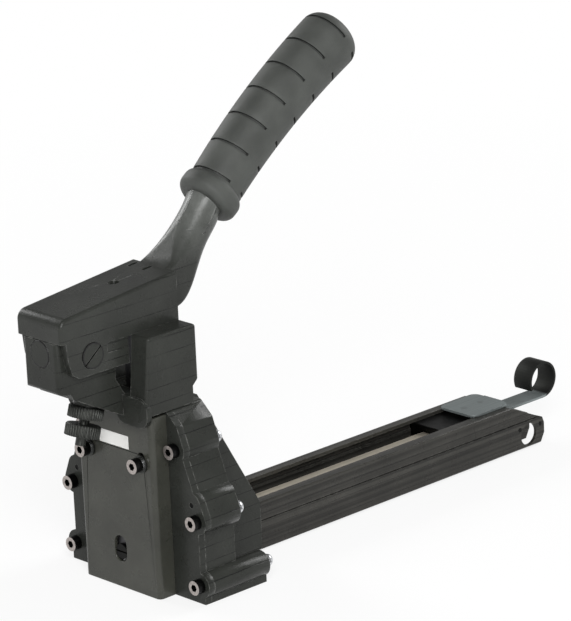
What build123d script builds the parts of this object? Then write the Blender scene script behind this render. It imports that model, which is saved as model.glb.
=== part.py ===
from build123d import *
import os
from math import cos, hypot, pi, radians, sin, sqrt

# Lever-handled carton-closing stapler in millimetres.
# +Z is up, +Y runs to the magazine's rear, the driver blade lies in the plane Y = 0, the base is Z = 0.

os.makedirs("parts", exist_ok=True)
SIDES = (-1, 1)
OVER = 1.0  # how far a cutter runs past a face

# Fits
RUN = 0.05
HOLE = 0.2
THREAD = 0.02
SLIDE = 0.3
PLAY = 0.5

# M5 socket screws and dome nuts
BOLT_R = 2.5
BOLT_HEAD_R = 4.25
BOLT_HEAD_H = 5.0
SOCKET_R = 2.3
SOCKET_DEPTH = 2.6
NUT_FLAT_R = 4.0
NUT_HEX_H = 4.0
NUT_DOME_R = 3.8
NUT_GRIP = 5.5
SPRING_WASHER_H = 1.25
WASHER_R = 5.2
WASHER_H = 1.1

# Staple, driver and magazine
STAPLE_CROWN = 35.0
CROWN_GAP = 0.3
MAG_WALL = 2.2
MAG_IN = STAPLE_CROWN / 2 + CROWN_GAP
MAG_OUT = MAG_IN + MAG_WALL
MAG_BOTTOM = 0.8
MAG_TOP = 30.0
MAG_FRONT = 2.0
MAG_REAR = 313.5
MAG_SLOPE_RUN = 29.5
MAG_HEEL_Z = 19.0
MAG_HEEL_RUN = 5.5
MAG_FLOOR_INSET = 25.5
LIP_X = 13.4
LEDGE_Z = 23.0
LEDGE_W = 1.0
LEDGE_H = 1.5
GROOVE_Z = 18.6
GROOVE_H = 0.9
GROOVE_DEPTH = 0.6
HANG_INSET = 14.0
HANG_Z = 9.2
HANG_R = 7.0
END_PIN_R = 1.5
FRONT_PIN_INSET = 21.9
FRONT_PIN_Z = 13.9
REAR_PIN_INSET = 3.6
REAR_PIN_Z = 13.5
CORE_X = 7.5
CORE_WALL = 1.5
CORE_TOP = 22.6
CORE_FRONT = 4.0
CORE_RIVET_R = 1.75
CORE_RIVETS_Y = (70.0, 160.0, 250.0)
MAG_SCREW_R = 2.0
MAG_SCREWS_Y = (31.0, 55.0)
MAG_SCREW_Z = 15.0
DRIVER_T = 1.2
DRIVER_X = STAPLE_CROWN / 2 - 0.25
DRIVER_TIP_Z = 26.0

# Housing castings
SEAM_Z = 110.0
PARTING_Y = -3.0
FLANGE_T = 4.5
FLANGE_Y = PARTING_Y - FLANGE_T
HOUSING_REAR = 19.5
LOWER_BOSS_REAR = 39.5
BOSS_R = 7.5
WEB_R = 4.5
UPPER_BOLT = (37.4, 87.8)
MID_BOLT = (52.7, 48.8)
LOWER_BOLT = (53.1, 10.7)
DOWEL = (49.0, 57.8)
DOWEL_R = 1.6
DOWEL_REAR = 10.0
SHOULDER = (37.6, 100.2)
TOP_X = 33.0
CORNER_R = 3.0
WAIST_X = 53.7
FOOT_X = 57.0
FOOT_IN_X = 46.0
TAIL_X = 24.0
TAIL_REAR = 67.5
TAIL_BOTTOM = 3.5
TAIL_END_Z = 32.3
TAIL_LEAN = 0.5696  # how far the tail's rear edge moves forward per millimetre up
CAVITY_X = 18.5
CAVITY_FLOOR = 40.0
CAVITY_REAR = 4.2
TUNNEL_X = 16.0
TUNNEL_TOP = 36.0
NOTCH_X = 27.5
NOTCH_Z = 7.5
NOTCH_REAR = MAG_FRONT
WINDOW_X = 10.0
WINDOW_LOW = 68.5
WINDOW_HIGH = 107.0
STUD_R = 2.5
STUD_X = 26.2
STUDS_Y = (2.0, 10.0)
STUD_LOW = 98.0
STUD_HIGH = 124.0

# Front plate
PLATE_STANDOFF = 12.0
PLATE_Y = FLANGE_Y - PLATE_STANDOFF
PLATE_X = 32.0
PLATE_T = 2.4
PLATE_TOP = 108.0
PLATE_BEND_R = 3.0
PLATE_SCREW_X = 22.3
PLATE_SCREW_Z = 79.9
PLATE_SLOT_R = 2.9
PLATE_SLOT_RUN = 3.4
SPACER_R = 4.5
PORT_R = 5.0
PORT_LOW = 20.7
PORT_HIGH = 26.3
LABEL_X = 12.2
LABEL_LOW = 86.0
LABEL_HIGH = 93.7
LABEL_T = 0.3

# Upper frame: cheeks, lobes and nose
CHEEK_IN = 19.2
CHEEK_EDGE_R = 1.8
CHEEK_TOP = 155.2
CHEEK_TOP_FRONT = -18.6
CHEEK_LOW_FRONT = -22.8
CHEEK_REAR = 17.2
CHEEK_HEEL_Y = 12.6
CHEEK_HEEL_Z = 119.8
CHEEK_CHAMFER_Z = 124.0
FRAME_FLOOR = 116.0
FRAME_WINDOW_X = 8.0
FRAME_WINDOW_FRONT = -5.0
FRAME_WINDOW_REAR = 6.0
LOBE_FRONT = -23.4
LOBE_IN = 8.0
LOBE_OUT = 34.0
LOBE_LOW = 103.0
LOBE_HIGH = 120.0
LOBE_R = 7.0
NOSE_X = 14.1
NOSE_EDGE_R = 2.5
NOSE_FRONT = -69.0
NOSE_LOW_FRONT = 131.5
NOSE_TOP = 160.6
NOSE_ARC_R = 19.5
NOSE_STEP_Y = -60.4
NOSE_STEP_TOP = 129.5
NOSE_STEP_LOW_Y = -58.8
NOSE_STEP_LOW = 126.2
NOSE_KNEE_Y = -54.3
NOSE_KNEE_Z = 123.8
NOSE_ROOT_Y = -24.5
NOSE_ROOT_Z = 108.2
PLUG_R = 7.9
PLUG_Z = 152.6
PLUG_DEPTH = 4.0
PLUG_PROUD = 0.3

# Lever
PIVOT_Y = -47.0
PIVOT_Z = 150.0
PIVOT_R = 5.0
PIVOT_HEAD_R = 7.5
PIVOT_HEAD_H = 3.0
PIVOT_PROUD = 0.6
PIVOT_SLOT_ANGLE = 38.0
BUSH_R = 6.5
HEAD_X = 18.8
HEAD_WALL = 4.3
HEAD_REAR = 17.1
HEAD_TOP_FRONT = 174.6
HEAD_TOP_REAR = 183.3
HEAD_LOW = 154.6
HEAD_REAR_LOW = 157.3
HEAD_LIP_Z = 161.0
HEAD_FRONT_R = 6.0
HEAD_EDGE_R = 2.0
ROOF_T = 4.5
EAR_LOW = 139.1
EAR_REAR = -20.5
EAR_FRONT_TOP_Y = -65.6
EAR_FRONT_MID_Y = -64.3
EAR_FRONT_MID_Z = 148.9
EAR_FRONT_LOW_Y = -62.0
EAR_FRONT_LOW_Z = 142.0
EAR_TOE_Y = -57.2
EAR_RECESS = 0.6
EAR_RECESS_FRONT = -36.0
EAR_RECESS_LOW = 148.7
ROOF_HOLE_R = 3.2
ROOF_HOLE_Y = -13.0
POCKETS_X = (-11.9, 0.1)
POCKET_Y = 11.8
POCKET_W = 2.4
POCKET_L = 6.6
POCKET_DEPTH = 2.5
NECK_START_Y = 14.0
NECK_START_Z = 171.3
NECK_START_W = 24.5
NECK_START_H = 22.6
NECK_START_ROUND = 2.5
NECK_HEEL_Y = 26.8
NECK_HEEL_Z = 174.8
NECK_HEEL_W = 24.5
NECK_HEEL_H = 25.5
NECK_HEEL_ANGLE = 22.0
NECK_HEEL_ROUND = 3.5
NECK_MID_Y = 35.3
NECK_MID_Z = 184.2
NECK_MID_W = 23.4
NECK_MID_H = 22.5
NECK_MID_ANGLE = 40.0
NECK_MID_ROUND = 7.0
SHAFT_R = 11.2
SHAFT_LOW_Y = 45.9
SHAFT_LOW_Z = 196.4
SHAFT_LOW_ANGLE = 47.0

# Grip
GRIP_Y = 62.5
GRIP_Z = 214.4
GRIP_ANGLE = 36.2
GRIP_FOOT = -7.0
GRIP_BODY_START = 4.0
GRIP_END = 128.0
GRIP_R = 16.2
GRIP_END_R = 18.6
GRIP_BOW = 3.9
GRIP_BOW_MID = 60.0
GRIP_BOW_HALF = 58.0
GRIP_SECTIONS = 6
GRIP_COLLAR_R = 18.5
GRIP_COLLAR_W = 13.0
GRIP_COLLAR_ROUND = 5.0
GRIP_DOME = 9.0
GRIP_ROD_R = 10.0
GRIP_ROD_END = 112.0
GRIP_GROOVES = 7
GRIP_FIRST_GROOVE = 7.6
GRIP_PITCH = 18.65
GRIP_GROOVE_W = 1.6
GRIP_GROOVE_DEPTH = 1.2
GRIP_STRIP = 5.5

# Drive train
PRESS_DEG = 35.0
DRIVE_RADIUS = 48.1
DRIVE_PIN_R = 3.0
DRIVE_PIN_END = 17.0
ROLLER_R = 4.5
ROLLER_X = 5.5
FORK_GAP = 0.25
FORK_X = 6.0
FORK_REACH = 10.4
FORK_HEEL = 5.4
FORK_WALL = 2.6
JAW_T = 3.2
JAW_LOW_T = 5.5
COLUMN_FRONT = -3.0
BODY_X = 17.0
BODY_T = 3.0
BODY_LOW = 72.0
BRIDGE_X = 8.5
BRIDGE_LOW = 99.5
BRIDGE_HIGH = 106.0
BLADE_TOP = 98.5
LUG_LOW = 93.0
LUG_T = 5.0
LUG_X = 6.0
LUG_REAR = 17.2
RIVET_R = 2.0
BLADE_RIVET_X = 10.0
BLADE_RIVET_Z = 85.0
SPRING_Y = 11.2
SPRING_R = 4.7
SPRING_WIRE_R = 0.8
SPRING_TURNS = 7
SPRING_SEAT = 44.0
SPRING_POCKET_X = 9.0
SPRING_POCKET_REAR = 18.0

# Clinchers and their cam plate
ARM_T = 2.4
ARM_GAP = 0.2
CLINCH_Z = 21.5
CLINCH_PIN_R = 2.5
CLINCH_RADIUS = 26.0
CLINCH_START = 70.0
CLINCH_SWING = 41.0
CLINCH_SCREW_R = 3.0
CLINCH_HEAD_R = 4.5
CLINCH_HEAD_T = 2.0
LEVER_W = 10.0
CLAW_W = 8.0
CLAW = (21.0, 6.2)
TIP = (23.0, 3.6)
TIP_SIZE = 4.0
TIP_REAR = 1.5
CAM_T = 3.2
CAM_X = 27.0
CAM_NECK_X = 14.0
CAM_LOW = 40.0
CAM_STEP = 70.0
CAM_SCREW_X = 4.5
CAM_SCREW_R = 2.0
CAM_HEAD_R = 3.4
CAM_HEAD_H = 2.2
CAM_SCREW_DEPTH = 6.0

# Pusher
PUSHER_T = 1.5
PUSHER_GAP = 0.15
PUSHER_X = 15.0
PUSHER_INSET = 58.0
PUSHER_LENGTH = 32.5
PUSHER_CORNER_R = 5.0
TONGUE_X = 7.0
TONGUE_RAMP = 9.0
TONGUE_LENGTH = 30.5
RING_R = 11.75
RING_GAP_FROM = 205.0
RING_GAP_TO = 266.0
SHOE_REACH = 23.0
SHOE_LENGTH = 51.5
SHOE_WING_Z = 23.4
SHOE_LEG_LOW = 5.0
SHOE_LEG_X = 16.4
SHOE_NECK_X = 12.9
SHOE_NECK_INSET = 2.5
PUSHER_RIVET_R = 2.0
PUSHER_RIVET_INSET = 7.5
PUSHER_RIVET_PITCH = 15.0

# Adjuster under the nose
ADJUST_Y = -40.4
ADJUST_Z = 106.0
ADJUST_LEAN = 17.0
ADJUST_R = 3.0
ADJUST_TIP = -14.0
ADJUST_TOP = 24.0
ADJUST_BORE_TOP = 27.0
KNOB_R = 10.1
KNOB_T = 6.8
KNOB_GAP = 3.6
LOCK_WASHER_R = 7.6
LOCK_WASHER_T = 0.8
PAD_R = 8.0
PAD_T = 7.0
PAD_GAP = 0.1
KNURLS = 40
KNURL_R = 0.55
KNOB_CHAMFER = 0.7

# Values that follow from the sizes above
HALF_PRESS = radians(PRESS_DEG / 2)
DRIVE_Y = PIVOT_Y + DRIVE_RADIUS * cos(HALF_PRESS)
DRIVE_Z = PIVOT_Z + DRIVE_RADIUS * sin(HALF_PRESS)
STROKE = 2 * DRIVE_RADIUS * sin(HALF_PRESS)
FORK_FRONT = PIVOT_Y + DRIVE_RADIUS - FORK_REACH
FORK_REAR = PIVOT_Y + DRIVE_RADIUS + FORK_HEEL
MAG_SLOPE_Y = MAG_REAR - MAG_SLOPE_RUN
MAG_HEEL_Y = MAG_REAR - MAG_HEEL_RUN
MAG_FLOOR_END = MAG_REAR - MAG_FLOOR_INSET
HANG_Y = MAG_REAR - HANG_INSET
FRONT_PIN_Y = MAG_REAR - FRONT_PIN_INSET
REAR_PIN_Y = MAG_REAR - REAR_PIN_INSET
PUSHER_FRONT = MAG_REAR - PUSHER_INSET
PUSHER_REAR = PUSHER_FRONT + PUSHER_LENGTH
PUSHER_RIVET_Y = PUSHER_FRONT + PUSHER_RIVET_INSET
PUSHER_RIVETS_Y = (PUSHER_RIVET_Y, PUSHER_RIVET_Y + PUSHER_RIVET_PITCH)
TONGUE_Y = PUSHER_REAR + TONGUE_RAMP
RING_Y = TONGUE_Y + TONGUE_LENGTH
SHOE_FRONT = PUSHER_FRONT - SHOE_REACH
SHOE_REAR = SHOE_FRONT + SHOE_LENGTH
SHOE_NECK_FRONT = PUSHER_FRONT + SHOE_NECK_INSET
PLATE_BACK = PLATE_Y + PLATE_T
LEFT_ARM_Y = PLATE_BACK + SLIDE
RIGHT_ARM_Y = LEFT_ARM_Y + ARM_T + ARM_GAP
CAM_Y = RIGHT_ARM_Y + ARM_T + SLIDE
CAM_BACK = CAM_Y + CAM_T
BLADE_BACK = DRIVER_T / 2
BODY_BACK = BLADE_BACK + BODY_T
CORE_REAR = FRONT_PIN_Y - 3 * END_PIN_R
MAG_INNER_TOP = MAG_TOP - MAG_WALL
MAG_FLOOR = MAG_BOTTOM + MAG_WALL
PUSHER_Z = MAG_TOP + PUSHER_GAP
TONGUE_Z = CORE_TOP + SLIDE
RING_Z = TONGUE_Z + RING_R
ROOF_SLOPE = (HEAD_TOP_REAR - HEAD_TOP_FRONT) / (HEAD_REAR - NOSE_FRONT)
LOCK_HIGH = KNOB_GAP / 2 + KNOB_T
LOCK_SEAT = LOCK_HIGH + LOCK_WASHER_T + PAD_GAP


def block(xs, ys, zs):
    """Box between three pairs of limits."""
    limits = (xs, ys, zs)
    size = [high - low for low, high in limits]
    middle = [(high + low) / 2 for low, high in limits]
    return Pos(*middle) * Box(*size)


def rod_x(y, z, radius, xs):
    """Cylinder along X."""
    return Pos((xs[0] + xs[1]) / 2, y, z) * Rot(0, 90, 0) * Cylinder(radius, xs[1] - xs[0])


def rod_y(x, z, radius, ys):
    """Cylinder along Y."""
    return Pos(x, (ys[0] + ys[1]) / 2, z) * Rot(90, 0, 0) * Cylinder(radius, ys[1] - ys[0])


def rod_z(x, y, radius, zs):
    """Cylinder along Z."""
    return Pos(x, y, (zs[0] + zs[1]) / 2) * Cylinder(radius, zs[1] - zs[0])


def front_prism(outline, ys):
    """Outline drawn in X and Z, extruded along Y."""
    face = Pos(0, ys[0], 0) * (Plane.XZ * outline)
    return extrude(face, amount=ys[1] - ys[0], dir=(0, 1, 0))


def side_prism(outline, xs):
    """Outline drawn in Y and Z, extruded along X."""
    face = Pos(xs[0], 0, 0) * (Plane.YZ * outline)
    return extrude(face, amount=xs[1] - xs[0], dir=(1, 0, 0))


def hull(circles):
    """Face stretched round circles given as x, z, radius and their mirror images."""
    edges = ShapeList()
    for x, z, radius in circles:
        for side in SIDES:
            edges += (Pos(side * x, z) * Circle(radius)).edges()
    return make_hull(edges)


def capsule(start, end, width):
    """Straight slot outline between two centres."""
    edges = ShapeList()
    for x, z in (start, end):
        edges += (Pos(x, z) * Circle(width / 2)).edges()
    return make_hull(edges)


def pair(shape):
    """A shape and its mirror image across the middle plane."""
    return shape + mirror(shape, about=Plane.YZ)


def join(shapes):
    """One node out of several shapes."""
    total = shapes[0]
    for shape in shapes[1:]:
        total = total + shape
    return total


def on_adjuster(shape):
    """Moves a shape from the Z axis onto the adjuster's leaning axis."""
    return Pos(0, ADJUST_Y, ADJUST_Z) * Rot(-ADJUST_LEAN, 0, 0) * shape


def bolt_sites():
    """Every through bolt with the rear end of its boss."""
    sites = []
    rears = ((UPPER_BOLT, HOUSING_REAR), (MID_BOLT, HOUSING_REAR), (LOWER_BOLT, LOWER_BOSS_REAR))
    for (x, z), rear in rears:
        for side in SIDES:
            sites.append((side * x, z, rear))
    return sites


def housing_outline():
    """Shared front outline of the two housing castings."""
    corner = (TOP_X - CORNER_R, SEAM_Z - CORNER_R, CORNER_R)
    shoulder = (SHOULDER[0], SHOULDER[1], CORNER_R)
    face = hull([corner, shoulder, (*UPPER_BOLT, BOSS_R)])
    face = face + hull([(*UPPER_BOLT, WEB_R), (*DOWEL, WEB_R)])
    face = face + hull([(*DOWEL, BOSS_R), (*MID_BOLT, BOSS_R)])
    face = face + Pos(0, MID_BOLT[1] / 2) * Rectangle(2 * WAIST_X, MID_BOLT[1])
    face = face + Pos(0, LOWER_BOLT[1] / 2) * Rectangle(2 * FOOT_X, LOWER_BOLT[1])
    for side in SIDES:
        face = face + Pos(side * LOWER_BOLT[0], LOWER_BOLT[1]) * Circle(BOSS_R)
    return face


def holes_for_bolts(ys):
    """Clearance holes of the through bolts and dowels."""
    drills = [rod_y(x, z, BOLT_R + HOLE, ys) for x, z, _ in bolt_sites()]
    drills += [rod_y(side * DOWEL[0], DOWEL[1], DOWEL_R + THREAD, (ys[0], DOWEL_REAR)) for side in SIDES]
    return drills


def stud_rods(radius):
    """Studs that tie the upper frame to the rear housing."""
    return [rod_z(side * STUD_X, y, radius, (STUD_LOW, STUD_HIGH)) for side in SIDES for y in STUDS_Y]


def rear_housing():
    body = front_prism(housing_outline(), (PARTING_Y, HOUSING_REAR))
    seam_y = TAIL_REAR - TAIL_LEAN * (SEAM_Z - TAIL_END_Z)
    root = HOUSING_REAR - OVER
    tail = Polygon(
        (root, TAIL_BOTTOM), (TAIL_REAR, TAIL_BOTTOM), (TAIL_REAR, TAIL_END_Z),
        (seam_y, SEAM_Z), (root, SEAM_Z),
    )
    body = body + side_prism(tail, (-TAIL_X, TAIL_X))
    boss = rod_y(LOWER_BOLT[0], LOWER_BOLT[1], BOSS_R, (root, LOWER_BOSS_REAR))
    foot = block((FOOT_IN_X, FOOT_X), (root, LOWER_BOSS_REAR), (0, LOWER_BOLT[1]))
    body = body + pair(boss + foot)
    front = PARTING_Y - OVER
    top = SEAM_Z + OVER
    rear = TAIL_REAR + OVER
    slot_x = MAG_OUT + HOLE
    cuts = [
        block((-CAVITY_X, CAVITY_X), (front, CAVITY_REAR), (CAVITY_FLOOR, top)),
        block((-CAVITY_X, CAVITY_X), (front, MAG_FRONT), (-OVER, CAVITY_FLOOR + OVER)),
        block((-slot_x, slot_x), (MAG_FRONT - HOLE, rear), (-OVER, MAG_TOP + HOLE)),
        block((-TUNNEL_X, TUNNEL_X), (MAG_FRONT - HOLE, rear), (MAG_TOP, TUNNEL_TOP)),
        block((-SPRING_POCKET_X, SPRING_POCKET_X), (0, SPRING_POCKET_REAR), (SPRING_SEAT, top)),
        block((-NOTCH_X, NOTCH_X), (front, NOTCH_REAR), (-OVER, NOTCH_Z)),
    ]
    cuts += holes_for_bolts((front, LOWER_BOSS_REAR + OVER))
    cuts += stud_rods(STUD_R + THREAD)
    cuts += [
        rod_x(y, MAG_SCREW_Z, MAG_SCREW_R + THREAD, (-TAIL_X - OVER, -MAG_OUT)) for y in MAG_SCREWS_Y
    ]
    return body - cuts


def front_housing():
    body = front_prism(housing_outline(), (FLANGE_Y, PARTING_Y))
    ys = (FLANGE_Y - OVER, PARTING_Y + OVER)
    cuts = [
        block((-WINDOW_X, WINDOW_X), ys, (WINDOW_LOW, WINDOW_HIGH)),
        block((-NOTCH_X, NOTCH_X), ys, (-OVER, NOTCH_Z)),
        rod_y(0, CLINCH_Z, CLINCH_SCREW_R + THREAD, ys),
    ]
    cuts += [rod_y(side * PLATE_SCREW_X, PLATE_SCREW_Z, BOLT_R + THREAD, ys) for side in SIDES]
    cuts += holes_for_bolts(ys)
    return body - cuts


def dowel_pins():
    return join([rod_y(s * DOWEL[0], DOWEL[1], DOWEL_R, (FLANGE_Y + SLIDE, DOWEL_REAR)) for s in SIDES])


def through_bolts():
    bolts = []
    for x, z, rear in bolt_sites():
        shank = rod_y(x, z, BOLT_R, (FLANGE_Y - OVER, rear + NUT_GRIP))
        bolts.append(shank + socket_head(x, z, FLANGE_Y))
    return join(bolts)


def socket_head(x, z, seat):
    """Cap head with its hexagon socket, seated on the plane y = seat and facing -Y."""
    head = rod_y(x, z, BOLT_HEAD_R, (seat - BOLT_HEAD_H, seat))
    hexagon = Pos(x, z) * RegularPolygon(SOCKET_R, 6)
    return head - front_prism(hexagon, (seat - BOLT_HEAD_H - OVER, seat - BOLT_HEAD_H + SOCKET_DEPTH))


def dome_nuts():
    nuts = []
    for x, z, rear in bolt_sites():
        hexagon = Pos(x, z) * RegularPolygon(NUT_FLAT_R, 6, major_radius=False)
        nut = front_prism(hexagon, (rear, rear + NUT_HEX_H))
        dome = Pos(x, rear + NUT_HEX_H, z) * Sphere(NUT_DOME_R)
        dome = dome - rod_y(x, z, NUT_FLAT_R + OVER, (rear - NUT_DOME_R, rear + NUT_HEX_H - OVER))
        nut = nut + dome
        nuts.append(nut - rod_y(x, z, BOLT_R + THREAD, (rear - OVER, rear + NUT_GRIP + HOLE)))
    return join(nuts)


def front_plate():
    shell = Pos(0, (PLATE_Y + FLANGE_Y) / 2) * Rectangle(2 * PLATE_X, FLANGE_Y - PLATE_Y)
    bends = [v for v in shell.vertices() if v.Y < PLATE_BACK]
    shell = fillet(bends, PLATE_BEND_R)
    inner_x = PLATE_X - PLATE_T
    inside_y = (PLATE_BACK + FLANGE_Y + OVER) / 2
    inside = Pos(0, inside_y) * Rectangle(2 * inner_x, FLANGE_Y + OVER - PLATE_BACK)
    body = extrude(shell - inside, amount=PLATE_TOP, dir=(0, 0, 1))
    ys = (PLATE_Y - OVER, PLATE_BACK + OVER)
    cuts = [front_prism(capsule((0, PORT_LOW), (0, PORT_HIGH), 2 * PORT_R), ys)]
    for side in SIDES:
        low = (side * PLATE_SCREW_X, PLATE_SCREW_Z)
        high = (side * PLATE_SCREW_X, PLATE_SCREW_Z + PLATE_SLOT_RUN)
        cuts.append(front_prism(capsule(low, high, 2 * PLATE_SLOT_R), ys))
    return body - cuts


def label():
    return block((-LABEL_X, LABEL_X), (PLATE_Y - LABEL_T, PLATE_Y), (LABEL_LOW, LABEL_HIGH))


def plate_stack(radius, start, length):
    """Washer-like rings at both plate screws, from the plate outwards."""
    rings = []
    for side in SIDES:
        ys = (start - length, start)
        ring = rod_y(side * PLATE_SCREW_X, PLATE_SCREW_Z, radius, ys)
        bore = rod_y(side * PLATE_SCREW_X, PLATE_SCREW_Z, BOLT_R + HOLE, (ys[0] - OVER, ys[1] + OVER))
        rings.append(ring - bore)
    return rings


def plate_washers():
    return join(plate_stack(WASHER_R, PLATE_Y, WASHER_H))


def spring_washers():
    start = PLATE_Y - WASHER_H
    rings = plate_stack(BOLT_HEAD_R, start, SPRING_WASHER_H)
    split = [
        block((s * PLATE_SCREW_X - PLAY, s * PLATE_SCREW_X + PLAY), (start - BOLT_HEAD_R, start + OVER),
              (PLATE_SCREW_Z - BOLT_HEAD_R - OVER, PLATE_SCREW_Z)) for s in SIDES
    ]
    return join([ring - cut for ring, cut in zip(rings, split)])


def plate_screws():
    seat = PLATE_Y - WASHER_H - SPRING_WASHER_H
    screws = []
    for side in SIDES:
        x = side * PLATE_SCREW_X
        shank = rod_y(x, PLATE_SCREW_Z, BOLT_R, (seat - OVER, PARTING_Y - HOLE))
        screws.append(shank + socket_head(x, PLATE_SCREW_Z, seat))
    return join(screws)


def plate_spacers():
    return join(plate_stack(SPACER_R, FLANGE_Y, FLANGE_Y - PLATE_BACK))


def clincher_screw():
    face = LEFT_ARM_Y - PUSHER_GAP
    shank = rod_y(0, CLINCH_Z, CLINCH_SCREW_R, (face - OVER, PARTING_Y - HOLE))
    head = rod_y(0, CLINCH_Z, CLINCH_HEAD_R, (face - CLINCH_HEAD_T, face))
    slot = block(
        (-CLINCH_HEAD_R, CLINCH_HEAD_R), (face - CLINCH_HEAD_T - OVER, face - OVER),
        (CLINCH_Z - PLAY, CLINCH_Z + PLAY),
    )
    return shank + head - slot


def upper_frame():
    cheek = Polygon(
        (CHEEK_LOW_FRONT, SEAM_Z), (CHEEK_TOP_FRONT, CHEEK_TOP), (CHEEK_REAR, CHEEK_TOP),
        (CHEEK_REAR, CHEEK_CHAMFER_Z), (CHEEK_HEEL_Y, CHEEK_HEEL_Z), (CHEEK_HEEL_Y, SEAM_Z),
    )
    cheek = side_prism(cheek, (CHEEK_IN, TOP_X))
    outer = [e for e in cheek.edges() if e.center().X > CHEEK_IN + THREAD]
    outer = [e for e in outer if e.center().Z > CHEEK_CHAMFER_Z + THREAD]
    body = pair(fillet(outer, CHEEK_EDGE_R))
    body = body + block((-TOP_X, TOP_X), (PLATE_Y, CHEEK_HEEL_Y), (SEAM_Z, FRAME_FLOOR))
    lobe = Pos((LOBE_IN + LOBE_OUT) / 2, (LOBE_LOW + LOBE_HIGH) / 2) * RectangleRounded(
        LOBE_OUT - LOBE_IN, LOBE_HIGH - LOBE_LOW, LOBE_R
    )
    body = body + pair(front_prism(lobe, (LOBE_FRONT, PLATE_Y - SLIDE)))
    nose = Polygon(
        (NOSE_FRONT, NOSE_LOW_FRONT), (NOSE_STEP_Y, NOSE_STEP_TOP), (NOSE_STEP_LOW_Y, NOSE_STEP_LOW),
        (NOSE_KNEE_Y, NOSE_KNEE_Z), (NOSE_ROOT_Y, NOSE_ROOT_Z), (PLATE_Y - SLIDE, NOSE_ROOT_Z),
        (PLATE_Y - SLIDE, SEAM_Z), (PLATE_Y + SLIDE, SEAM_Z), (PLATE_Y + SLIDE, FRAME_FLOOR),
        (PIVOT_Y + NOSE_ARC_R, FRAME_FLOOR + NOSE_X), (PIVOT_Y + NOSE_ARC_R, PIVOT_Z),
        (PIVOT_Y, PIVOT_Z), (PIVOT_Y, NOSE_TOP), (NOSE_FRONT, NOSE_TOP),
    )
    nose = nose + Pos(PIVOT_Y, PIVOT_Z) * Circle(NOSE_ARC_R)
    nose = side_prism(nose, (-NOSE_X, NOSE_X))
    front = [e for e in nose.edges() if e.center().Y < NOSE_FRONT + THREAD]
    body = body + fillet([e for e in front if e.center().Z < NOSE_TOP - THREAD], NOSE_EDGE_R)
    body = body + on_adjuster(rod_z(0, 0, PAD_R, (LOCK_SEAT, LOCK_SEAT + PAD_T)))
    cuts = [
        rod_x(PIVOT_Y, PIVOT_Z, BUSH_R + THREAD, (-NOSE_X - OVER, NOSE_X + OVER)),
        rod_y(0, PLUG_Z, PLUG_R + HOLE, (NOSE_FRONT - OVER, NOSE_FRONT + PLUG_DEPTH)),
        on_adjuster(rod_z(0, 0, ADJUST_R + RUN, (LOCK_SEAT - OVER, ADJUST_BORE_TOP))),
        on_adjuster(rod_z(0, 0, KNOB_R + OVER, (ADJUST_TIP, LOCK_SEAT))),
        block((-FRAME_WINDOW_X, FRAME_WINDOW_X), (FRAME_WINDOW_FRONT, FRAME_WINDOW_REAR),
              (SEAM_Z - OVER, FRAME_FLOOR + OVER)),
    ]
    return body - cuts - stud_rods(STUD_R + THREAD)


def nose_plug():
    disc = rod_y(0, PLUG_Z, PLUG_R, (NOSE_FRONT - PLUG_PROUD, NOSE_FRONT + PLUG_DEPTH))
    return chamfer(disc.edges().group_by(Axis.Y)[0], PLUG_PROUD)


def pivot_bush():
    xs = (-NOSE_X, NOSE_X)
    bore = rod_x(PIVOT_Y, PIVOT_Z, PIVOT_R + RUN, (xs[0] - OVER, xs[1] + OVER))
    return rod_x(PIVOT_Y, PIVOT_Z, BUSH_R, xs) - bore


def grip_plane(along):
    """Plane across the grip's axis, at a distance along it."""
    turn = radians(GRIP_ANGLE)
    origin = (0, GRIP_Y + along * cos(turn), GRIP_Z + along * sin(turn))
    return Plane(origin=origin, x_dir=(1, 0, 0), z_dir=(0, cos(turn), sin(turn)))


def neck_section(y, z, angle, outline):
    """Cross-section of the neck, tilted by an angle."""
    turn = radians(angle)
    return Plane(origin=(0, y, z), x_dir=(1, 0, 0), z_dir=(0, cos(turn), sin(turn))) * outline


def roof_z(y):
    """Height of the head's top face before its edges are rounded."""
    return HEAD_TOP_FRONT + ROOF_SLOPE * (y - NOSE_FRONT)


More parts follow.
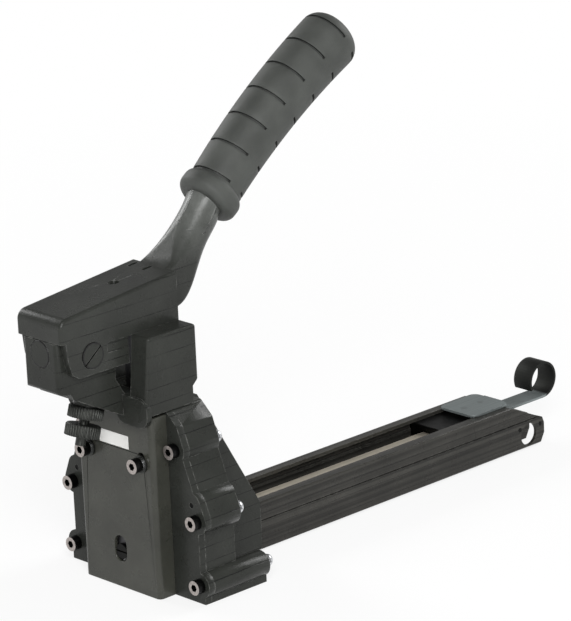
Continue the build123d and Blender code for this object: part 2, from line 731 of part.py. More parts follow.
def handle_lever():
    side = Polygon(
        (NOSE_FRONT, HEAD_LIP_Z), (EAR_FRONT_TOP_Y, HEAD_LIP_Z), (EAR_FRONT_MID_Y, EAR_FRONT_MID_Z),
        (EAR_FRONT_LOW_Y, EAR_FRONT_LOW_Z), (EAR_TOE_Y, EAR_LOW), (EAR_REAR, EAR_LOW), (EAR_REAR, HEAD_LOW),
        (HEAD_REAR, HEAD_LOW), (HEAD_REAR, roof_z(HEAD_REAR)), (NOSE_FRONT, roof_z(NOSE_FRONT)),
    )
    crown = [v for v in side.vertices() if v.Y > roof_z(NOSE_FRONT) - OVER and v.X < PIVOT_Y]
    side = fillet(crown, HEAD_FRONT_R)
    head = side_prism(side, (-HEAD_X, HEAD_X))
    rims = [e for e in head.edges() if abs(abs(e.center().X) - HEAD_X) < THREAD]
    rims = [e for e in rims if e.bounding_box().min.Z > HEAD_LIP_Z + OVER]
    head = fillet(rims, HEAD_EDGE_R)
    inner = HEAD_X - HEAD_WALL
    hollow = Polygon(
        (NOSE_FRONT + HEAD_WALL, EAR_LOW - OVER), (HEAD_REAR - HEAD_WALL, EAR_LOW - OVER),
        (HEAD_REAR - HEAD_WALL, roof_z(HEAD_REAR - HEAD_WALL) - ROOF_T),
        (NOSE_FRONT + HEAD_WALL, roof_z(NOSE_FRONT + HEAD_WALL) - ROOF_T),
    )
    shaft = RectangleRounded(2 * SHAFT_R, 2 * SHAFT_R, SHAFT_R - THREAD)
    start = RectangleRounded(NECK_START_W, NECK_START_H, NECK_START_ROUND)
    heel = RectangleRounded(NECK_HEEL_W, NECK_HEEL_H, NECK_HEEL_ROUND)
    middle = RectangleRounded(NECK_MID_W, NECK_MID_H, NECK_MID_ROUND)
    sections = [
        neck_section(NECK_START_Y, NECK_START_Z, 0, start),
        neck_section(NECK_HEEL_Y, NECK_HEEL_Z, NECK_HEEL_ANGLE, heel),
        neck_section(NECK_MID_Y, NECK_MID_Z, NECK_MID_ANGLE, middle),
        neck_section(SHAFT_LOW_Y, SHAFT_LOW_Z, SHAFT_LOW_ANGLE, shaft),
        grip_plane(GRIP_FOOT) * shaft,
    ]
    neck = loft(sections)
    rod_start = GRIP_FOOT - OVER
    rod = grip_plane((rod_start + GRIP_ROD_END) / 2) * Cylinder(GRIP_ROD_R, GRIP_ROD_END - rod_start)
    body = head + neck
    body = body - side_prism(hollow, (-inner, inner))
    body = body - block((-inner, inner), (NOSE_FRONT - OVER, EAR_REAR), (EAR_LOW - OVER, HEAD_LIP_Z))
    body = body - block((-inner, inner), (EAR_REAR, HEAD_REAR + OVER), (EAR_LOW, HEAD_REAR_LOW))
    body = body + rod
    face = HEAD_X - EAR_RECESS
    recess = block((face, HEAD_X + OVER), (EAR_RECESS_FRONT, EAR_REAR + OVER), (EAR_RECESS_LOW, HEAD_LOW))
    pocket_low = roof_z(POCKET_Y) - POCKET_DEPTH
    pocket_y = (POCKET_Y - POCKET_L / 2, POCKET_Y + POCKET_L / 2)
    pockets = [
        block((x - POCKET_W / 2, x + POCKET_W / 2), pocket_y, (pocket_low, roof_z(HEAD_REAR) + PIVOT_R))
        for x in POCKETS_X
    ]
    sink = (HEAD_X + PIVOT_PROUD - PIVOT_HEAD_H, HEAD_X + PIVOT_HEAD_H)
    cuts = [
        pair(recess),
        *pockets,
        rod_z(0, ROOF_HOLE_Y, ROOF_HOLE_R, (HEAD_LIP_Z, roof_z(HEAD_REAR))),
        rod_x(PIVOT_Y, PIVOT_Z, PIVOT_R + THREAD, (-HEAD_X - OVER, HEAD_X + OVER)),
        rod_x(PIVOT_Y, PIVOT_Z, PIVOT_HEAD_R + HOLE, sink),
        rod_x(DRIVE_Y, DRIVE_Z, DRIVE_PIN_R + THREAD, (-HEAD_X - OVER, DRIVE_PIN_END + THREAD)),
    ]
    return body - cuts


def grip_radius(along):
    """Grip radius, which grows evenly towards its end."""
    return GRIP_R + (GRIP_END_R - GRIP_R) * (along - GRIP_BODY_START) / (GRIP_END - GRIP_BODY_START)


def bowed_plane(along):
    """Plane across the grip's bowed middle line, in the grip's own frame."""
    offset = (along - GRIP_BOW_MID) / GRIP_BOW_HALF
    rise = GRIP_BOW * (1 - offset * offset)
    slope = 2 * GRIP_BOW * offset / GRIP_BOW_HALF
    return Plane(origin=(0, -rise, along), x_dir=(1, 0, 0), z_dir=(0, slope, 1))


def handle_grip():
    step = (GRIP_END - GRIP_BODY_START) / (GRIP_SECTIONS - 1)
    places = [GRIP_BODY_START + step * index for index in range(GRIP_SECTIONS)]
    body = loft([bowed_plane(along) * Circle(grip_radius(along)) for along in places])
    body = fillet(body.edges().group_by(Axis.Z)[-1], GRIP_DOME)
    strip = Box(3 * GRIP_COLLAR_R, 2 * GRIP_STRIP, 3 * GRIP_GROOVE_W)
    for index in range(GRIP_GROOVES):
        along = GRIP_FIRST_GROOVE + GRIP_PITCH * index
        floor = grip_radius(along) - GRIP_GROOVE_DEPTH
        ring = Cylinder(2 * GRIP_COLLAR_R, GRIP_GROOVE_W) - Cylinder(floor, 2 * GRIP_GROOVE_W) - strip
        body = body - bowed_plane(along) * ring
    collar = Pos(0, 0, GRIP_FOOT + GRIP_COLLAR_W / 2) * Cylinder(GRIP_COLLAR_R, GRIP_COLLAR_W)
    body = body + fillet(collar.edges(), GRIP_COLLAR_ROUND)
    bore_start = GRIP_FOOT - OVER
    bore_end = GRIP_ROD_END + THREAD
    bore = Cylinder(GRIP_ROD_R + THREAD, bore_end - bore_start)
    body = body - Pos(0, 0, (bore_start + bore_end) / 2) * bore
    return grip_plane(0) * body


def pivot_screw():
    face = HEAD_X + PIVOT_PROUD
    shank = rod_x(PIVOT_Y, PIVOT_Z, PIVOT_R, (-HEAD_X, face - OVER))
    head = rod_x(PIVOT_Y, PIVOT_Z, PIVOT_HEAD_R, (face - PIVOT_HEAD_H + THREAD, face))
    slot = Box(2 * OVER, 2 * PIVOT_HEAD_R, 2 * PLAY)
    return shank + head - Pos(face, PIVOT_Y, PIVOT_Z) * Rot(PIVOT_SLOT_ANGLE, 0, 0) * slot


def drive_pin():
    return rod_x(DRIVE_Y, DRIVE_Z, DRIVE_PIN_R, (-HEAD_X + SLIDE, DRIVE_PIN_END))


def drive_roller():
    bore = rod_x(DRIVE_Y, DRIVE_Z, DRIVE_PIN_R + RUN, (-ROLLER_X - OVER, ROLLER_X + OVER))
    return rod_x(DRIVE_Y, DRIVE_Z, ROLLER_R, (-ROLLER_X, ROLLER_X)) - bore


def crosshead():
    low = DRIVE_Z - ROLLER_R - FORK_GAP
    high = DRIVE_Z + ROLLER_R + FORK_GAP
    column_low = BLADE_TOP + PLAY
    body = block((-FORK_X, FORK_X), (FORK_FRONT, FORK_REAR), (low - JAW_LOW_T, high + JAW_T))
    gap = block((-FORK_X - OVER, FORK_X + OVER), (FORK_FRONT + FORK_WALL, FORK_REAR + OVER), (low, high))
    body = body - gap
    body = body + block((-FORK_X, FORK_X), (COLUMN_FRONT, BODY_BACK), (column_low, low - OVER))
    body = body + block((-BODY_X, BODY_X), (BLADE_BACK, BODY_BACK), (BODY_LOW, BRIDGE_HIGH))
    body = body + block((-BRIDGE_X, BRIDGE_X), (CAM_BACK, BODY_BACK), (BRIDGE_LOW, BRIDGE_HIGH))
    body = body + block((-LUG_X, LUG_X), (BLADE_BACK, LUG_REAR), (LUG_LOW, LUG_LOW + LUG_T))
    rivets = [rod_y(x, z, RIVET_R + THREAD, (0, BODY_BACK + OVER)) for x, z in blade_rivet_sites()]
    depth = (CAM_Y, CAM_BACK + CAM_SCREW_DEPTH + HOLE)
    screws = [rod_y(side * CAM_SCREW_X, cam_screw_z(), CAM_SCREW_R + THREAD, depth) for side in SIDES]
    return body - rivets - screws


def blade_rivet_sites():
    """Rivets that hold the blade on the crosshead."""
    return [(x, BLADE_RIVET_Z) for x in (-BLADE_RIVET_X, 0, BLADE_RIVET_X)]


def cam_screw_z():
    """Height of the cam screws, halfway up the bridge."""
    return (BRIDGE_LOW + BRIDGE_HIGH) / 2


def driver_blade():
    blade = block((-DRIVER_X, DRIVER_X), (-DRIVER_T / 2, DRIVER_T / 2), (DRIVER_TIP_Z, BLADE_TOP))
    return blade - [rod_y(x, z, RIVET_R + THREAD, (-DRIVER_T, DRIVER_T)) for x, z in blade_rivet_sites()]


def blade_rivets():
    return join([rod_y(x, z, RIVET_R, (-DRIVER_T / 2, BODY_BACK)) for x, z in blade_rivet_sites()])


def clinch_pin(turn):
    """Cam pin of the right clincher after a swing of so many degrees."""
    angle = radians(CLINCH_START - turn)
    return (CLINCH_RADIUS * cos(angle), CLINCH_Z + CLINCH_RADIUS * sin(angle))


def cam_plate():
    outline = Pos(0, (CAM_LOW + CAM_STEP) / 2) * Rectangle(2 * CAM_X, CAM_STEP - CAM_LOW)
    outline = fillet(outline.vertices(), CORNER_R)
    neck = Rectangle(2 * CAM_NECK_X, BRIDGE_HIGH - CAM_LOW)
    outline = outline + Pos(0, (CAM_LOW + BRIDGE_HIGH) / 2) * neck
    low = (0, CAM_LOW - CLINCH_SCREW_R)
    high = (0, CLINCH_Z + STROKE)
    outline = outline - capsule(low, high, 2 * (CLINCH_SCREW_R + PLAY))
    x_from, z_from = clinch_pin(0)
    x_to, z_to = clinch_pin(CLINCH_SWING)
    width = 2 * (CLINCH_PIN_R + SLIDE)
    for side in SIDES:
        outline = outline - capsule((side * x_from, z_from), (side * x_to, z_to + STROKE), width)
    body = front_prism(outline, (CAM_Y, CAM_BACK))
    through = (CAM_Y - OVER, CAM_BACK + OVER)
    drills = [rod_y(side * CAM_SCREW_X, cam_screw_z(), CAM_SCREW_R + THREAD, through) for side in SIDES]
    return body - drills


def cam_screws():
    screws = []
    for side in SIDES:
        x = side * CAM_SCREW_X
        shank = rod_y(x, cam_screw_z(), CAM_SCREW_R, (CAM_Y - OVER, CAM_BACK + CAM_SCREW_DEPTH))
        screws.append(shank + rod_y(x, cam_screw_z(), CAM_HEAD_R, (CAM_Y - CAM_HEAD_H, CAM_Y)))
    return join(screws)


def clincher(side, front):
    """Clincher arm with its tip lug; side is -1 or 1."""
    x_pin, z_pin = clinch_pin(0)
    outline = capsule((0, CLINCH_Z), (side * x_pin, z_pin), LEVER_W)
    outline = outline + capsule((0, CLINCH_Z), (side * CLAW[0], CLAW[1]), CLAW_W)
    ys = (front, front + ARM_T)
    body = front_prism(outline, ys)
    half = TIP_SIZE / 2
    x_tip = side * TIP[0]
    body = body + block((x_tip - half, x_tip + half), (front, TIP_REAR), (TIP[1] - half, TIP[1] + half))
    past = (front - OVER, front + ARM_T + OVER)
    bore = rod_y(0, CLINCH_Z, CLINCH_SCREW_R + RUN, past)
    return body - bore - rod_y(side * x_pin, z_pin, CLINCH_PIN_R + THREAD, past)


def clincher_pin(side, front):
    x_pin, z_pin = clinch_pin(0)
    return rod_y(side * x_pin, z_pin, CLINCH_PIN_R, (front, CAM_BACK - HOLE))


def spring_points(steps):
    """Points on the return spring's centre line."""
    low = SPRING_SEAT + SPRING_WIRE_R
    rise = LUG_LOW - SPRING_WIRE_R - low
    points = []
    for index in range(steps + 1):
        angle = 2 * pi * SPRING_TURNS * index / steps
        z = low + rise * index / steps
        points.append((SPRING_R * cos(angle), SPRING_Y + SPRING_R * sin(angle), z))
    return points


def spring_tangent(point):
    """Unit direction of the return spring's centre line at one of its points."""
    rise = (LUG_LOW - SPRING_SEAT - 2 * SPRING_WIRE_R) / (2 * pi * SPRING_TURNS)
    run = Vector(SPRING_Y - point[1], point[0], rise)
    return run.normalized()


def return_spring():
    quarters = 4 * SPRING_TURNS
    points = spring_points(quarters)
    edges = []
    for start, end in zip(points[:-1], points[1:]):
        p0 = Vector(*start)
        p1 = Vector(*end)
        t0 = spring_tangent(start)
        t1 = spring_tangent(end)
        chord = p1 - p0
        lean = chord.dot(t0 + t1)
        bend = 2 * (1 - t0.dot(t1))
        reach = (sqrt(lean * lean + bend * chord.dot(chord)) - lean) / bend
        middle = (p0 + t0 * reach + p1 - t1 * reach) / 2
        edges.append(Edge.make_tangent_arc(p0, t0, middle))
        edges.append(Edge.make_tangent_arc(middle, (p1 - t1 * reach) - (p0 + t0 * reach), p1))
    path = Wire(edges)
    section = Plane(origin=points[0], z_dir=spring_tangent(points[0])) * Circle(SPRING_WIRE_R)
    return sweep(section, path=path)


def tail_cuts():
    """Sloped and rounded rear end of the magazine, with its hanging hole and pin holes."""
    past = MAG_REAR + MAG_WALL
    high = MAG_TOP + OVER
    heel = Polygon(
        (MAG_SLOPE_Y, MAG_TOP), (MAG_HEEL_Y, MAG_HEEL_Z), (past, MAG_HEEL_Z), (past, high),
        (MAG_SLOPE_Y, high),
    )
    wall = (-MAG_OUT - OVER, MAG_OUT + OVER)
    round_r = MAG_REAR - MAG_HEEL_Y
    half_turn = round_r * sqrt(0.5)
    toe = Polygon(
        (MAG_HEEL_Y, MAG_HEEL_Z + OVER), (MAG_HEEL_Y, MAG_HEEL_Z),
        (MAG_HEEL_Y + half_turn, MAG_HEEL_Z - round_r + half_turn), (MAG_REAR, MAG_HEEL_Z - round_r),
        (past, MAG_HEEL_Z - round_r), (past, MAG_HEEL_Z + OVER),
    )
    hang_low = HANG_Z - MAG_WALL
    under = Polygon((MAG_REAR, hang_low), (past, hang_low), (past, -OVER), (MAG_REAR - 2 * MAG_WALL, -OVER))
    return [
        side_prism(heel, wall),
        side_prism(toe, wall),
        side_prism(under, wall),
        rod_x(HANG_Y, HANG_Z, HANG_R, wall),
        rod_x(FRONT_PIN_Y, FRONT_PIN_Z, END_PIN_R + THREAD, wall),
        rod_x(REAR_PIN_Y, REAR_PIN_Z, END_PIN_R + THREAD, wall),
    ]


def core_tail():
    """Solid end of the core, held between the walls by the two pins."""
    upper = block((-CORE_X, CORE_X), (CORE_REAR, MAG_REAR), (MAG_FLOOR, CORE_TOP))
    lower = block((-CORE_X, CORE_X), (MAG_FLOOR_END, MAG_REAR), (MAG_BOTTOM, MAG_FLOOR + OVER))
    return upper + lower - tail_cuts()


def magazine_channel():
    wide = Pos(0, (MAG_BOTTOM + MAG_TOP) / 2) * Rectangle(2 * MAG_OUT, MAG_TOP - MAG_BOTTOM)
    wide = fillet(wide.vertices(), OVER)
    room = Pos(0, (MAG_FLOOR + MAG_INNER_TOP) / 2) * Rectangle(2 * MAG_IN, MAG_INNER_TOP - MAG_FLOOR)
    mouth = Pos(0, MAG_TOP) * Rectangle(2 * LIP_X, 3 * MAG_WALL)
    section = wide - room - mouth
    for side in SIDES:
        section = section + Pos(side * (MAG_IN - LEDGE_W / 2), LEDGE_Z - LEDGE_H / 2) * Rectangle(
            LEDGE_W + THREAD, LEDGE_H
        )
        section = section - Pos(side * MAG_OUT, GROOVE_Z) * Rectangle(2 * GROOVE_DEPTH, GROOVE_H)
    body = front_prism(section, (MAG_FRONT, MAG_REAR))
    past = MAG_REAR + MAG_WALL
    cuts = tail_cuts()
    cuts.append(block((-MAG_IN, MAG_IN), (MAG_FLOOR_END, past), (-OVER, MAG_FLOOR + OVER)))
    cuts += [rod_z(0, y, CORE_RIVET_R + THREAD, (-OVER, MAG_FLOOR + OVER)) for y in CORE_RIVETS_Y]
    far_wall = (-MAG_OUT - OVER, -MAG_IN + OVER)
    cuts += [rod_x(y, MAG_SCREW_Z, MAG_SCREW_R + THREAD, far_wall) for y in MAG_SCREWS_Y]
    return body - cuts


def staple_core():
    tube = block((-CORE_X, CORE_X), (CORE_FRONT, CORE_REAR), (MAG_FLOOR, CORE_TOP))
    inner = CORE_X - CORE_WALL
    core_floor = MAG_FLOOR + CORE_WALL
    hollow = block((-inner, inner), (CORE_FRONT - OVER, CORE_REAR + OVER), (core_floor, CORE_TOP - CORE_WALL))
    drills = [rod_z(0, y, CORE_RIVET_R + THREAD, (MAG_BOTTOM, core_floor + OVER)) for y in CORE_RIVETS_Y]
    return tube - hollow - drills


def core_rivets():
    return join([rod_z(0, y, CORE_RIVET_R, (MAG_BOTTOM, MAG_FLOOR + CORE_WALL)) for y in CORE_RIVETS_Y])


def magazine_pins():
    front = rod_x(FRONT_PIN_Y, FRONT_PIN_Z, END_PIN_R, (-MAG_OUT, MAG_OUT))
    return front + rod_x(REAR_PIN_Y, REAR_PIN_Z, END_PIN_R, (-MAG_OUT, MAG_OUT))


def magazine_screws():
    screws = []
    for y in MAG_SCREWS_Y:
        screw = rod_x(y, MAG_SCREW_Z, MAG_SCREW_R, (-TAIL_X, -MAG_IN))
        slot = block((-TAIL_X - OVER, -TAIL_X + OVER), (y - MAG_SCREW_R, y + MAG_SCREW_R),
                     (MAG_SCREW_Z - SLIDE, MAG_SCREW_Z + SLIDE))
        screws.append(screw - slot)
    return join(screws)


def pusher_plate():
    top = PUSHER_Z + PUSHER_T
    plate = block((-PUSHER_X, PUSHER_X), (PUSHER_FRONT, PUSHER_REAR), (PUSHER_Z, top))
    plate = fillet(plate.edges().filter_by(Axis.Z), PUSHER_CORNER_R)
    tongue_top = TONGUE_Z + PUSHER_T
    bend = Polygon(
        (PUSHER_REAR - PUSHER_CORNER_R, PUSHER_Z), (PUSHER_REAR, PUSHER_Z), (TONGUE_Y, TONGUE_Z),
        (RING_Y, TONGUE_Z), (RING_Y, tongue_top), (TONGUE_Y + PUSHER_T / 2, tongue_top),
        (PUSHER_REAR + PUSHER_T / 2, top),
        (PUSHER_REAR - PUSHER_CORNER_R, top),
    )
    ring = Pos(RING_Y, RING_Z) * (Circle(RING_R) - Circle(RING_R - PUSHER_T))
    far = 2 * RING_R
    wedge = [(RING_Y, RING_Z)]
    for degrees in (RING_GAP_FROM, (RING_GAP_FROM + RING_GAP_TO) / 2, RING_GAP_TO):
        wedge.append((RING_Y + far * cos(radians(degrees)), RING_Z + far * sin(radians(degrees))))
    ring = ring - Polygon(*wedge)
    body = plate + side_prism(bend + ring, (-TONGUE_X, TONGUE_X))
    through = (PUSHER_Z - OVER, top + OVER)
    return body - [rod_z(0, y, PUSHER_RIVET_R + THREAD, through) for y in PUSHER_RIVETS_Y]


def pusher_shoe():
    lip = MAG_INNER_TOP - PUSHER_GAP
    body = block((-MAG_IN + PLAY, MAG_IN - PLAY), (SHOE_FRONT, SHOE_REAR), (SHOE_WING_Z, lip))
    body = body + block((-SHOE_NECK_X, SHOE_NECK_X), (SHOE_NECK_FRONT, SHOE_REAR), (SHOE_WING_Z, PUSHER_Z))
    leg = block((CORE_X + PLAY, SHOE_LEG_X), (SHOE_FRONT, SHOE_REAR), (SHOE_LEG_LOW, SHOE_WING_Z + OVER))
    body = body + pair(leg)
    through = (CORE_TOP, PUSHER_Z + OVER)
    return body - [rod_z(0, y, PUSHER_RIVET_R + THREAD, through) for y in PUSHER_RIVETS_Y]


def pusher_rivets():
    rivets = []
    top = PUSHER_Z + PUSHER_T
    for y in PUSHER_RIVETS_Y:
        rivets.append(rod_z(0, y, PUSHER_RIVET_R, (SHOE_WING_Z, top)))
    return join(rivets)


def knurled(low):
    """Knurled wheel on the adjuster's axis, from its lower face up."""
    notches = [Rot(0, 0, 360 * n / KNURLS) * Pos(KNOB_R, 0) * Circle(KNURL_R) for n in range(KNURLS)]
    outline = Circle(KNOB_R) - notches - Circle(ADJUST_R + RUN)
    knob = extrude(outline, amount=KNOB_T, dir=(0, 0, 1))
    bevel = Cone(KNOB_R + KNOB_T, KNOB_R - KNOB_CHAMFER, KNOB_T + KNOB_CHAMFER)
    knob = knob & Pos(0, 0, (KNOB_T - KNOB_CHAMFER) / 2) * bevel
    return on_adjuster(Pos(0, 0, low) * knob)


def adjuster_screw():
    return on_adjuster(rod_z(0, 0, ADJUST_R, (ADJUST_TIP, ADJUST_TOP)))


def adjuster_knob():
    return knurled(-LOCK_HIGH)


def lock_nut():
    return knurled(KNOB_GAP / 2)


def lock_washer():
    zs = (LOCK_HIGH, LOCK_HIGH + LOCK_WASHER_T)
    bore = rod_z(0, 0, ADJUST_R + RUN, (zs[0] - OVER, zs[1] + OVER))
    return on_adjuster(rod_z(0, 0, LOCK_WASHER_R, zs) - bore)


NODES = {
    "rear_housing": rear_housing(),
    "front_housing": front_housing(),
    "upper_frame": upper_frame(),
    "nose_plug": nose_plug(),
    "pivot_bush": pivot_bush(),
    "front_plate": front_plate(),
    "blank_label": label(),
    "plate_screws": plate_screws(),
    "spring_washers": spring_washers(),
    "plate_washers": plate_washers(),
    "plate_spacers": plate_spacers(),
    "clincher_screw": clincher_screw(),
    "through_bolts": through_bolts(),
    "dome_nuts": dome_nuts(),
    "dowel_pins": dowel_pins(),
    "frame_studs": join(stud_rods(STUD_R)),
    "return_spring": return_spring(),
    "magazine_channel": magazine_channel(),
    "staple_core": staple_core(),
    "core_rivets": core_rivets(),
    "magazine_pins": magazine_pins(),
    "core_tail": core_tail(),
    "magazine_screws": magazine_screws(),
    "handle_lever": handle_lever(),
    "handle_grip": handle_grip(),
    "pivot_screw": pivot_screw(),
    "drive_pin": drive_pin(),
    "drive_roller": drive_roller(),
    "crosshead": crosshead(),
    "driver_blade": driver_blade(),
    "blade_rivets": blade_rivets(),
    "cam_plate": cam_plate(),
    "cam_screws": cam_screws(),
    "clincher_left": clincher(-1, LEFT_ARM_Y),
    "clincher_left_pin": clincher_pin(-1, LEFT_ARM_Y),
    "clincher_right": clincher(1, RIGHT_ARM_Y),
    "clincher_right_pin": clincher_pin(1, RIGHT_ARM_Y),
    "pusher_plate": pusher_plate(),
    "pusher_shoe": pusher_shoe(),
    "pusher_rivets": pusher_rivets(),
    "adjuster_screw": adjuster_screw(),
    "adjuster_knob": adjuster_knob(),
    "lock_nut": lock_nut(),
    "lock_washer": lock_washer(),
}
for name, shape in NODES.items():
    export_step(shape, f"parts/{name}.step")

pitch = (LUG_LOW - SPRING_SEAT - 2 * SPRING_WIRE_R) / SPRING_TURNS
coil = spring_points(64 * SPRING_TURNS)
least = min(
    hypot(a[0] - b[0], a[1] - b[1], a[2] - b[2])
    for i, a in enumerate(coil[: 64 * 2]) for b in coil[i + 40: i + 90]
)
print("spring pitch", round(pitch, 2), "least gap between coils", round(least - 2 * SPRING_WIRE_R, 2))
print("stroke", round(STROKE, 3), "drive pin", round(DRIVE_Y, 3), round(DRIVE_Z, 3))
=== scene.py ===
from math import cos, radians, sin

import bmesh
import bpy
from mathutils import Matrix, Vector


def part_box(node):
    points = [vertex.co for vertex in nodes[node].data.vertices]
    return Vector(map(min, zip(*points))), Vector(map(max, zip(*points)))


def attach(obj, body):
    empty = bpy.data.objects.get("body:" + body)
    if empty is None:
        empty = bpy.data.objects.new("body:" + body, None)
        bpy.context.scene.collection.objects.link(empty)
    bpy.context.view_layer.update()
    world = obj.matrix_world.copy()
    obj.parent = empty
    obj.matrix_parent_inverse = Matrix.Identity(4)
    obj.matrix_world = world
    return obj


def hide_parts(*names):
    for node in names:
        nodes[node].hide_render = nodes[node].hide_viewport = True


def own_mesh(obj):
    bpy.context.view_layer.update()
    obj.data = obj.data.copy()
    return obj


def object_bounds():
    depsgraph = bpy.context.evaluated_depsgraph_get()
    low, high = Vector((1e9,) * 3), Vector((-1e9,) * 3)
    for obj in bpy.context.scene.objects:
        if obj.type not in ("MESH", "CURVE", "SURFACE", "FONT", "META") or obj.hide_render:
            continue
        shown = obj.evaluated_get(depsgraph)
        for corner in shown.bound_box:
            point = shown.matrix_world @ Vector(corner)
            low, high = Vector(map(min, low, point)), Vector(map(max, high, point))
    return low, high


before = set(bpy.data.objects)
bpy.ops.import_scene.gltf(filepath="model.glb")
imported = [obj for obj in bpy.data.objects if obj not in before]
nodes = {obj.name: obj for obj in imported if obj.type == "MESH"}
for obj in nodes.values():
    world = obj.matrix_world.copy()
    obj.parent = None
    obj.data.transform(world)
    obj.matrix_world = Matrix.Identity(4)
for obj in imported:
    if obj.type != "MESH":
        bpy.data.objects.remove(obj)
cad_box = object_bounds()

# Picture frame and camera, fitted to the photograph
PICTURE_HEIGHT = 621
FOCAL_PIXELS = 3735.5
SENSOR = 36.0
CAMERA_PLACE = (1.5207, -1.2985, 0.7868)
CAMERA_AZIMUTH = radians(47.06)
CAMERA_ELEVATION = radians(17.51)
CAMERA_ROLL = radians(-2.59)
CAMERA_REACH = 50

# Studio, in metres and watts
LAMP_SIZE = 0.8
LAMP_AIM = (0, 0.12, 0.12)
LAMPS = {
    "key_lamp": ((1.2, -0.9, 1.1), 29),
    "rim_lamp": ((0.35, 1.75, 1.1), 17),
    "fill_lamp": ((-1.7, -0.1, 1.0), 16),
}
FLOOR_HALF = 6
FLOOR_DROP = 0.0002
FLOOR_COLOUR = (0.9, 0.9, 0.9, 1)
FLOOR_ROUGHNESS = 0.9
SHADOW_END = 0.3
WHITE_START = 1.1
GLOW_IN_SHADOW = 0.80
WALL_FOOT = 0.06
WALL_HEAD = 0.40
CEILING_LIGHT = 0.2

# Finishes, as linear colours
PAINT = (0.023, 0.0245, 0.0215, 1)
# Edge colour of the casting paint: rubbed wear and a painted highlight along edges
PAINT_WEAR_HIGHLIGHT = (0.200, 0.202, 0.190, 1)
# Lighter paint below the grip: hand polish and a painted highlight on the shaft
PAINT_POLISH_HIGHLIGHT = (0.120, 0.126, 0.118, 1)
SHEET_PAINT = (0.038, 0.039, 0.032, 1)
# Edge colour of the sheet paint: rubbed wear and a painted highlight along edges
SHEET_WEAR_HIGHLIGHT = (0.140, 0.140, 0.125, 1)
CHANNEL_BLACK = (0.028, 0.027, 0.024, 1)
RUBBER = (0.047, 0.050, 0.046, 1)
RUBBER_DUST = (0.090, 0.095, 0.088, 1)
BARE_STEEL = (0.80, 0.74, 0.63, 1)
BARE_STAIN = (0.56, 0.50, 0.40, 1)
SATIN_STEEL = (0.27, 0.30, 0.30, 1)
SATIN_STAIN = (0.18, 0.20, 0.20, 1)
ZINC = (0.62, 0.63, 0.65, 1)
ZINC_STAIN = (0.40, 0.40, 0.40, 1)
BRONZE = (0.42, 0.27, 0.12, 1)
BRONZE_STAIN = (0.22, 0.13, 0.06, 1)
OXIDE = (0.012, 0.012, 0.012, 1)
BLUED = (0.10, 0.10, 0.105, 1)
KNOB_COAT = (0.060, 0.062, 0.058, 1)
RING_BLACK = (0.030, 0.031, 0.029, 1)
SCREW_FACE = (0.42, 0.38, 0.36, 1)
LABEL = (0.72, 0.72, 0.70, 1)
LABEL_EDGE = (0.52, 0.51, 0.48, 1)
# Painted shade, laid into grooves and corners
CREVICE_SHADE = (0.004, 0.004, 0.004, 1)
WHITE = (1, 1, 1, 1)

# Gloss, strength and fineness of the effects
PAINT_GLOSS = 0.18
LEVER_GLOSS = 0.25
PLATE_GLOSS = 0.32
MOULDED_GLOSS = 0.3
SCREW_METAL = 0.9
CREVICE_SHADE_STRENGTH = 0.8
LINE_DEPTH = 0.6
RUB_POLISH = 0.1
STAIN_ROUGHNESS = 0.2
STREAK_ROUGHNESS = 0.08
DUST_ROUGHNESS = 0.12
EDGE_SAMPLES = 6
CREVICE_SHADE_SAMPLES = 5

# Noise, in blobs per metre, and its stretch along drawn metal
CLOUD_SCALE = 38
PEEL_SCALE = 900
WEAR_HIGHLIGHT_SCALE = 260
WANDER_SCALE = 14
BREAK_SCALE = 55
SHEEN_SCALE = 120
BLOTCH_SCALE = 70
MOTTLE_SCALE = 60
GRAIN_SCALE = 1300
SCUFF_SCALE = 700
PATCH_SCALE = 90
CHANNEL_STREAKS = (520, 2, 520)
STEEL_STREAKS = (1400, 22, 1400)

# Surface detail, in metres
SCRIBE_PITCH = 0.0093
SCRIBE_WANDER = 0.0008
RIM_WIDTH = 0.0008
CREVICE_SHADE_REACH = 0.0025
POLISH_HIGHLIGHT_REACH = 0.016
RING_START = 0.310
RING_BACK = 0.329
RING_BACK_FADE = 0.002
RING_LOW = 0.0252
RING_LOW_FADE = 0.0008
EDGE_REACH = 0.0008
PAINT_RELIEF = 0.00015
METAL_RELIEF = 0.00006
MOULDED_RELIEF = 0.00012

# Rounded edges, in metres
CAST_EDGE = 0.0005
SHEET_EDGE = 0.0004
SMALL_EDGE = 0.00025
WELD_REACH = 0.000002
EDGE_STEPS = 2
EDGE_ANGLE = radians(34)

# Depths just behind the bright rings of the screws, in metres
BOLT_FACE = -0.0120
PLATE_SCREW_FACE = -0.0262


def place(tree, kind, settings=None, **sockets):
    """Adds a node, sets its options, and fills its sockets with values or links."""
    node = tree.nodes.new(kind)
    for name, value in (settings or {}).items():
        setattr(node, name, value)
    for name, value in sockets.items():
        numbered = name[0] == "i" and name[1:].isdigit()
        target = node.inputs[int(name[1:]) if numbered else name.replace("_", " ")]
        if isinstance(value, bpy.types.NodeSocket):
            tree.links.new(value, target)
        else:
            target.default_value = value
    return node


def calculate(tree, operation, first, second=0.0):
    """One math step."""
    return place(tree, "ShaderNodeMath", {"operation": operation}, i0=first, i1=second).outputs[0]


def multiply(tree, first, second):
    """Product of two values."""
    return calculate(tree, "MULTIPLY", first, second)


def stretch(tree, value, low, high, to_low=0.0, to_high=1.0):
    """Maps a value's range onto another, held inside it."""
    limits = {"i1": low, "i2": high, "i3": to_low, "i4": to_high}
    return place(tree, "ShaderNodeMapRange", {"clamp": True}, i0=value, **limits).outputs[0]


